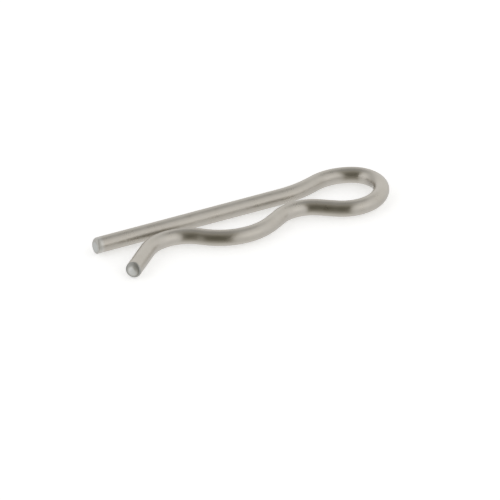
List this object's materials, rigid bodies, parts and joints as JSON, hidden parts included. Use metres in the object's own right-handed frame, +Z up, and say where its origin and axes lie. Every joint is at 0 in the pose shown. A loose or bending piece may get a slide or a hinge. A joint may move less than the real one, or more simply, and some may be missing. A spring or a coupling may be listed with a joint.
{
  "type": "spring cotter pin",
  "caption": "R clip, a spring cotter pin of round wire: a straight leg, an open eye and a curved spring leg with a bow, a nip and a flared tip.",
  "frame": {"origin": "centre of the clip's bounding box in plan, at the height of the surface that the clip lies on", "axes": "+X along the straight leg towards the eye, +Y in the clip's plane from the curved leg towards the straight leg, +Z up, square to the clip's plane"},
  "size_m": [0.0386, 0.0106, 0.002],
  "materials": {
    "wire": "bright drawn spring wire, zinc plated, satin, with the fine lines of drawing along it"
  },
  "bodies": {
    "root": {"r_clip": "wire"}
  },
  "joints": []
}
